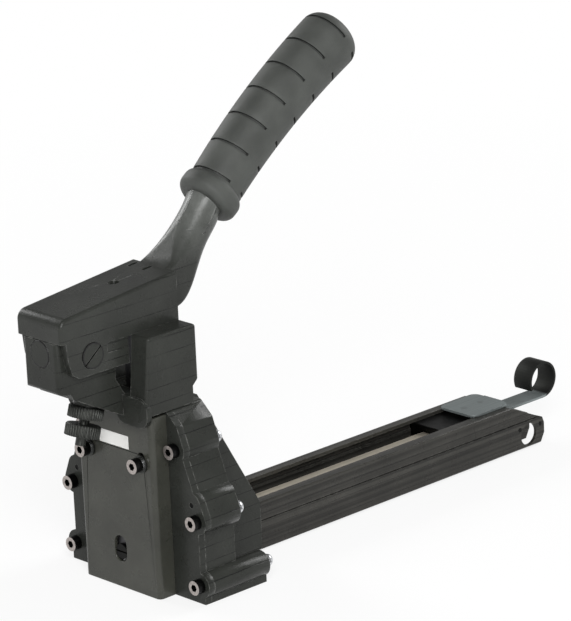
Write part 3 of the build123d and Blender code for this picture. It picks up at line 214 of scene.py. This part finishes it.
def blend_colour(tree, factor, first, second):
    """Mixes two colours."""
    node = tree.nodes.new("ShaderNodeMix")
    node.data_type = "RGBA"
    sockets = {"Factor": factor, "A": first, "B": second}
    for socket in node.inputs:
        if socket.enabled and socket.name in sockets:
            value = sockets[socket.name]
            if isinstance(value, bpy.types.NodeSocket):
                tree.links.new(value, socket)
            else:
                socket.default_value = value
    return [socket for socket in node.outputs if socket.enabled][0]


def vector_step(tree, operation, first, second):
    """One step on whole vectors."""
    return place(tree, "ShaderNodeVectorMath", {"operation": operation}, i0=first, i1=second).outputs


def shade_by(tree, colour, factor):
    """Colour made lighter or darker by a factor."""
    node = place(tree, "ShaderNodeVectorMath", {"operation": "SCALE"}, i0=colour, Scale=factor)
    return node.outputs[0]


def coordinates(tree):
    """Coordinates and normals of the object, as they lie at rest."""
    return place(tree, "ShaderNodeTexCoord").outputs


def axes(tree, vector):
    """X, Y and Z of a vector."""
    return place(tree, "ShaderNodeSeparateXYZ", None, Vector=vector).outputs


def speckle(tree, where, scale, detail=3.0):
    """Noise value at a number of blobs per metre."""
    return place(tree, "ShaderNodeTexNoise", None, Vector=where, Scale=scale, Detail=detail).outputs[0]


def streaks(tree, where, scale):
    """Noise drawn out along the magazine."""
    drawn = place(tree, "ShaderNodeMapping", None, Vector=where, Scale=scale).outputs[0]
    return speckle(tree, drawn, 1.0)


def start_group(name, colours, numbers):
    """Shader node group with named inputs, which puts out a colour, a roughness and a height."""
    tree = bpy.data.node_groups.new(name, "ShaderNodeTree")
    for title in colours:
        tree.interface.new_socket(title, in_out="INPUT", socket_type="NodeSocketColor")
    for title in numbers:
        tree.interface.new_socket(title, in_out="INPUT", socket_type="NodeSocketFloat")
    tree.interface.new_socket("Colour", in_out="OUTPUT", socket_type="NodeSocketColor")
    for title in ("Roughness", "Height"):
        tree.interface.new_socket(title, in_out="OUTPUT", socket_type="NodeSocketFloat")
    return tree, tree.nodes.new("NodeGroupInput").outputs, tree.nodes.new("NodeGroupOutput").inputs


def edge_mask(tree):
    """One along sharp edges, zero on open faces."""
    rounded = place(tree, "ShaderNodeBevel", {"samples": EDGE_SAMPLES}, Radius=EDGE_REACH).outputs[0]
    flat = place(tree, "ShaderNodeNewGeometry").outputs["Normal"]
    likeness = vector_step(tree, "DOT_PRODUCT", rounded, flat)["Value"]
    return stretch(tree, likeness, 0.985, 0.80)


def crevice_shade_mask(tree):
    """Painted shade: one deep in grooves and corners, zero on open faces."""
    settings = {"samples": CREVICE_SHADE_SAMPLES, "only_local": True}
    open_share = place(tree, "ShaderNodeAmbientOcclusion", settings, Distance=CREVICE_SHADE_REACH)
    return stretch(tree, open_share.outputs["AO"], 0.72, 0.30)


def scribe_mask(tree, where):
    """Faint broken lines at a steady pitch up the faces that look sideways."""
    spot = where["Object"]
    wander = stretch(tree, speckle(tree, spot, WANDER_SCALE, 2), 0.0, 1.0, -SCRIBE_WANDER, SCRIBE_WANDER)
    height = calculate(tree, "ADD", axes(tree, spot)["Z"], wander)
    turn = calculate(tree, "FRACT", calculate(tree, "DIVIDE", height, SCRIBE_PITCH))
    from_line = calculate(tree, "ABSOLUTE", calculate(tree, "SUBTRACT", turn, 0.5))
    line = stretch(tree, from_line, 0.04, 0.012)
    facing = calculate(tree, "ABSOLUTE", axes(tree, where["Normal"])["X"])
    sideways = stretch(tree, facing, 0.25, 0.6)
    broken = stretch(tree, speckle(tree, spot, BREAK_SCALE, 2), 0.38, 0.6, 0.35, 1.0)
    return multiply(tree, multiply(tree, line, sideways), broken)


def coated_metal_group():
    """Painted castings and sheet: cloudy colour, edges lightened as rubbed wear and as a painted highlight,
    painted shade in grooves and corners, fine orange peel and faint scribed lines.
    """
    colours = ("Paint", "Rubbed")
    tree, given, made = start_group("coated_metal", colours, ("Rub", "Lines", "Peel", "Drawn"))
    where = coordinates(tree)
    spot = where["Object"]
    shade = stretch(tree, speckle(tree, spot, CLOUD_SCALE, 5), 0.3, 0.7, 0.80, 1.22)
    paint = shade_by(tree, given["Paint"], shade)
    streak = stretch(tree, streaks(tree, spot, CHANNEL_STREAKS), 0.35, 0.65, -0.6, 0.9)
    streak = calculate(tree, "ADD", 1.0, multiply(tree, streak, given["Drawn"]))
    paint = shade_by(tree, paint, streak)
    # Edges lightened as rubbed wear and as a painted highlight
    patchy = stretch(tree, speckle(tree, spot, WEAR_HIGHLIGHT_SCALE, 4), 0.42, 0.62)
    wear_and_highlight = multiply(tree, multiply(tree, edge_mask(tree), patchy), given["Rub"])
    colour = blend_colour(tree, wear_and_highlight, paint, given["Rubbed"])
    line = multiply(tree, scribe_mask(tree, where), given["Lines"])
    # Scribed lines, and painted shade in grooves and corners
    dark = calculate(tree, "MAXIMUM", line, multiply(tree, crevice_shade_mask(tree), CREVICE_SHADE_STRENGTH))
    tree.links.new(blend_colour(tree, dark, colour, CREVICE_SHADE), made["Colour"])
    rough = stretch(tree, speckle(tree, spot, SHEEN_SCALE, 4), 0.3, 0.7, 0.24, 0.38)
    rough = calculate(tree, "SUBTRACT", rough, multiply(tree, wear_and_highlight, RUB_POLISH))
    tree.links.new(rough, made["Roughness"])
    peel = multiply(tree, speckle(tree, spot, PEEL_SCALE, 2), given["Peel"])
    relief = calculate(tree, "SUBTRACT", peel, multiply(tree, line, LINE_DEPTH))
    tree.links.new(relief, made["Height"])
    return tree


def worked_metal_group():
    """Bare or plated metal with drawn streaks along the magazine and blotchy stains."""
    colours = ("Metal", "Stain")
    tree, given, made = start_group("worked_metal", colours, ("Stained", "Streak", "Rough"))
    spot = coordinates(tree)["Object"]
    streak = streaks(tree, spot, STEEL_STREAKS)
    blotch = stretch(tree, speckle(tree, spot, BLOTCH_SCALE, 5), 0.45, 0.72)
    stained = multiply(tree, blotch, given["Stained"])
    metal = shade_by(tree, given["Metal"], stretch(tree, streak, 0.25, 0.75, 0.86, 1.12))
    tree.links.new(blend_colour(tree, stained, metal, given["Stain"]), made["Colour"])
    rough = calculate(tree, "ADD", given["Rough"], multiply(tree, stained, STAIN_ROUGHNESS))
    rough = calculate(tree, "ADD", rough, multiply(tree, streak, STREAK_ROUGHNESS))
    tree.links.new(rough, made["Roughness"])
    tree.links.new(multiply(tree, streak, given["Streak"]), made["Height"])
    return tree


def moulded_group():
    """Rubber or film: soft mottling, dust on open faces, painted shade in grooves and corners and a fine matt
    grain.
    """
    colours = ("Body", "Dust")
    tree, given, made = start_group("moulded", colours, ("Dusty", "Grain", "Rough"))
    spot = coordinates(tree)["Object"]
    mottle = stretch(tree, speckle(tree, spot, MOTTLE_SCALE, 5), 0.35, 0.7)
    dust = multiply(tree, mottle, given["Dusty"])
    body = blend_colour(tree, dust, given["Body"], given["Dust"])
    # Painted shade in grooves and corners
    tree.links.new(blend_colour(tree, crevice_shade_mask(tree), body, CREVICE_SHADE), made["Colour"])
    rough = calculate(tree, "ADD", given["Rough"], multiply(tree, mottle, DUST_ROUGHNESS))
    tree.links.new(rough, made["Roughness"])
    grain = multiply(tree, speckle(tree, spot, GRAIN_SCALE, 2), given["Grain"])
    tree.links.new(grain, made["Height"])
    return tree


COATED = coated_metal_group()
WORKED = worked_metal_group()
MOULDED = moulded_group()


def finish_from(name, group, values, relief, **shader_values):
    """Material whose colour, roughness and relief come from one of the groups."""
    material = bpy.data.materials.new(name)
    material.use_nodes = True
    tree = material.node_tree
    shader = tree.nodes["Principled BSDF"]
    for key, value in shader_values.items():
        shader.inputs[key.replace("_", " ")].default_value = value
    effect = tree.nodes.new("ShaderNodeGroup")
    effect.node_tree = group
    for key, value in values.items():
        effect.inputs[key].default_value = value
    height = effect.outputs["Height"]
    bump = place(tree, "ShaderNodeBump", None, Strength=1.0, Distance=relief, Height=height)
    tree.links.new(effect.outputs["Colour"], shader.inputs["Base Color"])
    tree.links.new(effect.outputs["Roughness"], shader.inputs["Roughness"])
    tree.links.new(bump.outputs[0], shader.inputs["Normal"])
    return material


def coated(name, paint, wear_highlight_colour, wear_and_highlight, lines, peel, gloss=PAINT_GLOSS, drawn=0.0):
    """Painted metal."""
    values = {"Paint": paint, "Rubbed": wear_highlight_colour, "Rub": wear_and_highlight, "Lines": lines, "Peel": peel, "Drawn": drawn}
    return finish_from(name, COATED, values, PAINT_RELIEF, Specular_IOR_Level=gloss)


def worked(name, metal, stain, stained, streak, rough):
    """Bare, plated or blackened metal."""
    values = {"Metal": metal, "Stain": stain, "Stained": stained, "Streak": streak, "Rough": rough}
    return finish_from(name, WORKED, values, METAL_RELIEF, Metallic=1.0)


def moulded(name, body, dust, dusty, grain, rough):
    """Rubber or film."""
    values = {"Body": body, "Dust": dust, "Dusty": dusty, "Grain": grain, "Rough": rough}
    return finish_from(name, MOULDED, values, MOULDED_RELIEF, Specular_IOR_Level=MOULDED_GLOSS)


def colour_over(material, mask, colour):
    """Lays a colour over a material's own colour where the mask is one."""
    tree = material.node_tree
    base = tree.nodes["Principled BSDF"].inputs["Base Color"]
    tree.links.new(blend_colour(tree, mask, base.links[0].from_socket, colour), base)
    return material


def screw_finish(name, face_y):
    """Black oxide screw whose end ring is worn bright; face_y is just behind that ring."""
    material = worked(name, OXIDE, OXIDE, stained=0.3, streak=0.3, rough=0.32)
    tree = material.node_tree
    tree.nodes["Principled BSDF"].inputs["Metallic"].default_value = SCREW_METAL
    where = coordinates(tree)
    in_front = calculate(tree, "LESS_THAN", axes(tree, where["Object"])["Y"], face_y)
    ring = multiply(tree, in_front, stretch(tree, axes(tree, where["Normal"])["Y"], -0.55, -0.8))
    scuff = stretch(tree, speckle(tree, where["Object"], SCUFF_SCALE), 0.2, 0.55, 0.55, 1.0)
    return colour_over(material, multiply(tree, ring, scuff), SCREW_FACE)


def rimmed(material, node, across):
    """Dark line round the edge of a round face; across is the plane that the face lies in."""
    low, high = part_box(node)
    tree = material.node_tree
    middle = [share * (least + most) / 2 for share, least, most in zip(across, low, high)]
    flat = vector_step(tree, "MULTIPLY", coordinates(tree)["Object"], across)[0]
    away = vector_step(tree, "DISTANCE", flat, middle)["Value"]
    radius = (high[2] - low[2]) / 2
    rim = stretch(tree, away, radius - 1.5 * RIM_WIDTH, radius - 0.5 * RIM_WIDTH)
    return colour_over(material, rim, OXIDE)


def polished_and_highlit(material):
    """Paint made lighter just below the grip, as polish where the hand slides and as a painted highlight on
    the shaft.
    """
    grip_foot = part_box("handle_grip")[0][2]
    tree = material.node_tree
    spot = coordinates(tree)["Object"]
    height = axes(tree, spot)["Z"]
    near = stretch(tree, height, grip_foot - POLISH_HIGHLIGHT_REACH, grip_foot + POLISH_HIGHLIGHT_REACH)
    patchy = stretch(tree, speckle(tree, spot, PATCH_SCALE, 4), 0.25, 0.6, 0.5, 1.0)
    return colour_over(material, multiply(tree, near, patchy), PAINT_POLISH_HIGHLIGHT)


def blackened_ring(material):
    """Blackens the curled ring at the end of the pusher's tongue."""
    tree = material.node_tree
    spot = axes(tree, coordinates(tree)["Object"])
    above = stretch(tree, spot["Z"], RING_LOW, RING_LOW + RING_LOW_FADE)
    behind = stretch(tree, spot["Y"], RING_BACK, RING_BACK + RING_BACK_FADE)
    on_ring = calculate(tree, "GREATER_THAN", spot["Y"], RING_START)
    black = multiply(tree, on_ring, calculate(tree, "MAXIMUM", above, behind))
    return colour_over(material, black, RING_BLACK)


def round_paint(name, node, across):
    """Casting paint on a round piece, with a dark line round its face."""
    return rimmed(coated(name, PAINT, PAINT_WEAR_HIGHLIGHT, wear_and_highlight=0.5, lines=0.0, peel=0.4), node, across)


CAST_PAINT = coated("cast_paint", PAINT, PAINT_WEAR_HIGHLIGHT, wear_and_highlight=0.85, lines=0.9, peel=0.5)
# Lever paint, lighter below the grip as hand polish and as a painted highlight
LEVER_PAINT = polished_and_highlit(
    coated("lever_paint", PAINT, PAINT_WEAR_HIGHLIGHT, wear_and_highlight=0.7, lines=0.8, peel=0.5, gloss=LEVER_GLOSS)
)
PLATE_PAINT = coated(
    "plate_paint", SHEET_PAINT, SHEET_WEAR_HIGHLIGHT, wear_and_highlight=0.6, lines=0.0, peel=0.25, gloss=PLATE_GLOSS
)
CHANNEL_PAINT = coated("channel_paint", CHANNEL_BLACK, SHEET_WEAR_HIGHLIGHT, wear_and_highlight=0.6, lines=0.6, peel=0.25, drawn=0.6)
PIVOT_PAINT = round_paint("pivot_paint", "pivot_screw", across=(0, 1, 1))
PLUG_PAINT = round_paint("plug_paint", "nose_plug", across=(1, 0, 1))
GRIP_RUBBER = moulded("grip_rubber", RUBBER, RUBBER_DUST, dusty=0.5, grain=0.6, rough=0.52)
LABEL_FILM = moulded("label_film", LABEL, LABEL_EDGE, dusty=0.25, grain=0.2, rough=0.45)
CORE_STEEL = worked("core_steel", BARE_STEEL, BARE_STAIN, stained=0.35, streak=0.6, rough=0.5)
PUSHER_STEEL = worked("pusher_steel", SATIN_STEEL, SATIN_STAIN, stained=0.4, streak=0.3, rough=0.42)
PULL_STEEL = blackened_ring(
    worked("pull_steel", SATIN_STEEL, SATIN_STAIN, stained=0.4, streak=0.3, rough=0.56)
)
ZINC_PLATE = worked("zinc_plate", ZINC, ZINC_STAIN, stained=0.4, streak=0.2, rough=0.2)
TOOL_STEEL = worked("tool_steel", BLUED, OXIDE, stained=0.4, streak=0.5, rough=0.36)
BUSH_BRONZE = worked("bush_bronze", BRONZE, BRONZE_STAIN, stained=0.5, streak=0.3, rough=0.35)
BOLT_BLACK = screw_finish("bolt_black", BOLT_FACE)
PLATE_SCREW_BLACK = screw_finish("plate_screw_black", PLATE_SCREW_FACE)
KNOB_BLACK = worked("knob_black", KNOB_COAT, PAINT, stained=0.6, streak=0.3, rough=0.44)
OXIDE_BLACK = worked("oxide_black", OXIDE, PAINT, stained=0.5, streak=0.3, rough=0.42)

# Finish and rounded edge of each piece; the hidden works that aren't named are tool steel
FINISHES = {
    "rear_housing": (CAST_PAINT, CAST_EDGE),
    "front_housing": (CAST_PAINT, CAST_EDGE),
    "upper_frame": (CAST_PAINT, CAST_EDGE),
    "nose_plug": (PLUG_PAINT, SMALL_EDGE),
    "handle_lever": (LEVER_PAINT, 0),
    "pivot_screw": (PIVOT_PAINT, SMALL_EDGE),
    "front_plate": (PLATE_PAINT, SHEET_EDGE),
    "magazine_channel": (CHANNEL_PAINT, SHEET_EDGE),
    "handle_grip": (GRIP_RUBBER, SHEET_EDGE),
    "blank_label": (LABEL_FILM, 0),
    "staple_core": (CORE_STEEL, SMALL_EDGE),
    "pusher_plate": (PULL_STEEL, SMALL_EDGE),
    "pusher_shoe": (OXIDE_BLACK, SMALL_EDGE),
    "pusher_rivets": (PUSHER_STEEL, SMALL_EDGE),
    "dome_nuts": (ZINC_PLATE, SMALL_EDGE),
    "plate_washers": (KNOB_BLACK, 0),
    "spring_washers": (ZINC_PLATE, 0),
    "clincher_screw": (OXIDE_BLACK, SMALL_EDGE),
    "through_bolts": (BOLT_BLACK, SMALL_EDGE),
    "plate_screws": (PLATE_SCREW_BLACK, SMALL_EDGE),
    "adjuster_screw": (KNOB_BLACK, 0),
    "adjuster_knob": (KNOB_BLACK, 0),
    "lock_nut": (KNOB_BLACK, 0),
    "lock_washer": (KNOB_BLACK, 0),
    "pivot_bush": (BUSH_BRONZE, 0),
    "dowel_pins": (OXIDE_BLACK, 0),
    "magazine_pins": (OXIDE_BLACK, 0),
    "core_tail": (CHANNEL_PAINT, 0),
}


def soften(piece, width):
    """Joins a piece's faces and rounds its sharp edges a little, where it has a width."""
    weld = piece.modifiers.new("weld", "WELD")
    weld.merge_threshold = WELD_REACH
    if width > 0:
        bevel = piece.modifiers.new("edge", "BEVEL")
        bevel.width = width
        bevel.segments = EDGE_STEPS
        bevel.limit_method = "ANGLE"
        bevel.angle_limit = EDGE_ANGLE
        bevel.harden_normals = True


def finish_pieces():
    """Gives each piece its finish and its edges."""
    for name, piece in nodes.items():
        material, width = FINISHES.get(name, (TOOL_STEEL, 0))
        piece.data.materials.clear()
        piece.data.materials.append(material)
        soften(piece, width)


def add_coil_spring():
    """Return spring under the crosshead, copied from the CAD spring and hung on the body; the copy keeps its
    rest length, though the real spring shortens as the driver comes down on it.
    """
    spring = bpy.data.objects.new("coil_spring", nodes["return_spring"].data.copy())
    bpy.context.scene.collection.objects.link(spring)
    soften(spring, 0)
    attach(spring, "body")
    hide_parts("return_spring")
    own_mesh(spring)


def add_camera():
    """Camera at the photograph's place."""
    data = bpy.data.cameras.new("photo_camera")
    data.sensor_width = SENSOR
    data.lens = FOCAL_PIXELS * SENSOR / PICTURE_HEIGHT
    data.clip_end = CAMERA_REACH
    camera = bpy.data.objects.new("photo_camera", data)
    bpy.context.scene.collection.objects.link(camera)
    level = cos(CAMERA_ELEVATION)
    back = Vector((sin(CAMERA_AZIMUTH) * level, -cos(CAMERA_AZIMUTH) * level, sin(CAMERA_ELEVATION)))
    right = Vector((cos(CAMERA_AZIMUTH), sin(CAMERA_AZIMUTH), 0))
    up = back.cross(right)
    tilted_right = right * cos(CAMERA_ROLL) + up * sin(CAMERA_ROLL)
    tilted_up = up * cos(CAMERA_ROLL) - right * sin(CAMERA_ROLL)
    turn = Matrix((tilted_right, tilted_up, back)).transposed().to_4x4()
    camera.matrix_world = Matrix.Translation(CAMERA_PLACE) @ turn
    bpy.context.scene.camera = camera


def add_lamp(name, spot, power):
    """Soft square lamp that points at the object."""
    data = bpy.data.lights.new(name, "AREA")
    data.size = LAMP_SIZE
    data.energy = power
    lamp = bpy.data.objects.new(name, data)
    lamp.location = spot
    lamp.rotation_euler = (Vector(LAMP_AIM) - Vector(spot)).to_track_quat("-Z", "Y").to_euler()
    bpy.context.scene.collection.objects.link(lamp)


def floor_finish():
    """Pale paint that looks white far from the object and keeps its shadow near it."""
    material = bpy.data.materials.new("pale_floor")
    material.use_nodes = True
    tree = material.node_tree
    shader = tree.nodes["Principled BSDF"]
    shader.inputs["Base Color"].default_value = FLOOR_COLOUR
    shader.inputs["Roughness"].default_value = FLOOR_ROUGHNESS
    shader.inputs["Specular IOR Level"].default_value = 0.0
    glow = place(tree, "ShaderNodeEmission", None, Color=WHITE, Strength=1.0)
    path = place(tree, "ShaderNodeLightPath").outputs
    seen = calculate(tree, "MAXIMUM", path["Is Camera Ray"], path["Is Glossy Ray"])
    seen = calculate(tree, "MAXIMUM", seen, path["Is Transmission Ray"])
    spot = coordinates(tree)["Object"]
    away = place(tree, "ShaderNodeVectorMath", {"operation": "LENGTH"}, i0=spot).outputs["Value"]
    share = multiply(tree, seen, stretch(tree, away, SHADOW_END, WHITE_START, GLOW_IN_SHADOW, 1.0))
    mix = place(tree, "ShaderNodeMixShader", None, i0=share, i1=shader.outputs[0], i2=glow.outputs[0])
    tree.links.new(mix.outputs[0], tree.nodes["Material Output"].inputs["Surface"])
    return material


def add_floor():
    """Plain floor just under the object."""
    mesh = bpy.data.meshes.new("floor")
    shape = bmesh.new()
    bmesh.ops.create_grid(shape, x_segments=1, y_segments=1, size=FLOOR_HALF)
    shape.to_mesh(mesh)
    shape.free()
    mesh.materials.append(floor_finish())
    floor = bpy.data.objects.new("floor", mesh)
    floor.location = (0, 0, cad_box[0].z - FLOOR_DROP)
    bpy.context.scene.collection.objects.link(floor)


def add_sky():
    """Studio walls that are white low down and dim towards the ceiling."""
    world = bpy.data.worlds.new("studio")
    bpy.context.scene.world = world
    world.use_nodes = True
    tree = world.node_tree
    height = axes(tree, coordinates(tree)["Generated"])["Z"]
    light = tree.nodes["Background"].inputs
    light["Color"].default_value = WHITE
    tree.links.new(stretch(tree, height, WALL_FOOT, WALL_HEAD, 1.0, CEILING_LIGHT), light["Strength"])


finish_pieces()
add_coil_spring()
add_camera()
add_floor()
add_sky()
for lamp_name, (lamp_spot, lamp_power) in LAMPS.items():
    add_lamp(lamp_name, lamp_spot, lamp_power)
bpy.context.scene.view_settings.view_transform = "Standard"
